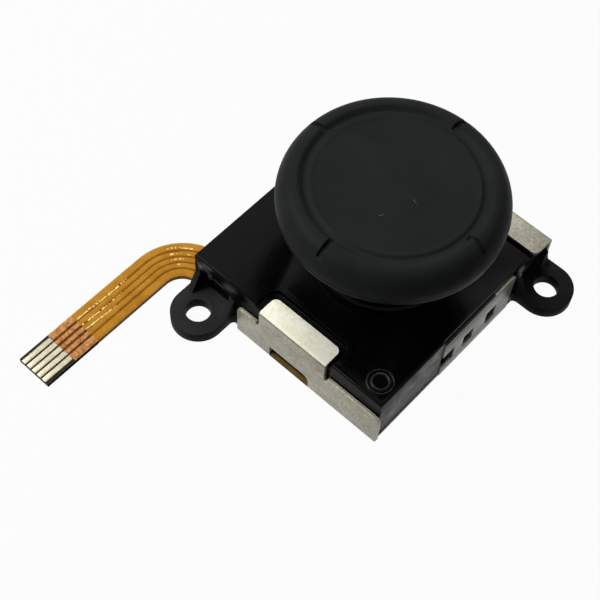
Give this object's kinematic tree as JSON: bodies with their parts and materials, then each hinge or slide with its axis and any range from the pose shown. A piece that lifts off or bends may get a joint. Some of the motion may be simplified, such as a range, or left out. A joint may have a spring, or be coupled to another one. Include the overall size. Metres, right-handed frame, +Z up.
{
  "type": "controller analog stick",
  "caption": "Low thumbstick module with a round rubber cap, black housing with screw ears, folded metal base and a flat flex tail.",
  "frame": {"origin": "on the axis of the stick at rest, on the underside of the base plate", "axes": "+Z up along the stick, -Y towards the wide front wall of the base plate, along which the flex tail runs outside the left wall"},
  "size_m": [0.0248, 0.0309, 0.0133],
  "materials": {
    "plated_steel": "dull tin plating with faint mottling",
    "black_housing": "semi-gloss moulded",
    "polyimide": "glossy amber film over copper",
    "gold_contacts": "pale gold plating",
    "adhesive": "clear tape",
    "stiffener": "amber board",
    "carbon": "printed carbon",
    "spring_steel": "bright",
    "film": "clear film",
    "natural_acetal": "satin natural",
    "black_acetal": "satin",
    "black_core": "satin moulded",
    "cap_rubber": "fine matte"
  },
  "bodies": {
    "base": {"base_plate": "plated_steel", "housing": "black_housing", "flex_circuit": "polyimide", "adhesive_sheet": "adhesive", "contact_stiffener": "stiffener", "contact_fingers": "gold_contacts", "carbon_track_x": "carbon", "carbon_track_y": "carbon", "click_contact": "gold_contacts", "click_dome": "spring_steel", "dome_film": "film", "return_spring": "spring_steel"},
    "yoke": {"lower_yoke": "natural_acetal"},
    "hub": {"stem_hub": "natural_acetal", "hub_pins": "spring_steel"},
    "stick": {"stem": "spring_steel", "dust_dome": "black_core", "cap_core": "black_core", "thumb_cap": "cap_rubber"},
    "arch": {"upper_arch": "black_acetal"},
    "x_slider": {"slider_x": "natural_acetal", "wiper_x": "spring_steel"},
    "y_slider": {"slider_y": "natural_acetal", "wiper_y": "spring_steel"}
  },
  "joints": [
    {"name": "tilt_x", "type": "hinge", "parent": "base", "child": "yoke", "pos_m": [0, 0, 0.0023], "axis": [1, 0, 0], "range_deg": [-18, 18], "stiffness_Nm_per_rad": 0.006, "deforming": ["return_spring"]},
    {"name": "tilt_y", "type": "hinge", "parent": "yoke", "child": "hub", "pos_m": [0, 0, 0.0023], "axis": [0, 1, 0], "range_deg": [-18, 18], "stiffness_Nm_per_rad": 0.006},
    {"name": "press", "type": "slide", "parent": "hub", "child": "stick", "axis": [0, 0, -1], "range_m": [0, 0.00025], "stiffness_N_per_m": 1200, "springref_m": -0.0002, "deforming": ["click_dome", "dome_film"]},
    {"name": "arch_turn", "type": "hinge", "parent": "base", "child": "arch", "pos_m": [0, 0, 0.0023], "axis": [0, 1, 0], "range_deg": [-18, 18]},
    {"name": "x_slide", "type": "slide", "parent": "base", "child": "x_slider", "axis": [1, 0, 0], "range_m": [-0.00034, 0.00034]},
    {"name": "y_slide", "type": "slide", "parent": "base", "child": "y_slider", "axis": [0, 1, 0], "range_m": [-0.00034, 0.00034]}
  ],
  "couplings": [
    {"joint": "arch_turn", "follows": "tilt_y", "ratio": 1},
    {"joint": "x_slide", "follows": "tilt_y", "m_per_rad": -0.00105},
    {"joint": "y_slide", "follows": "tilt_x", "m_per_rad": 0.00105}
  ]
}
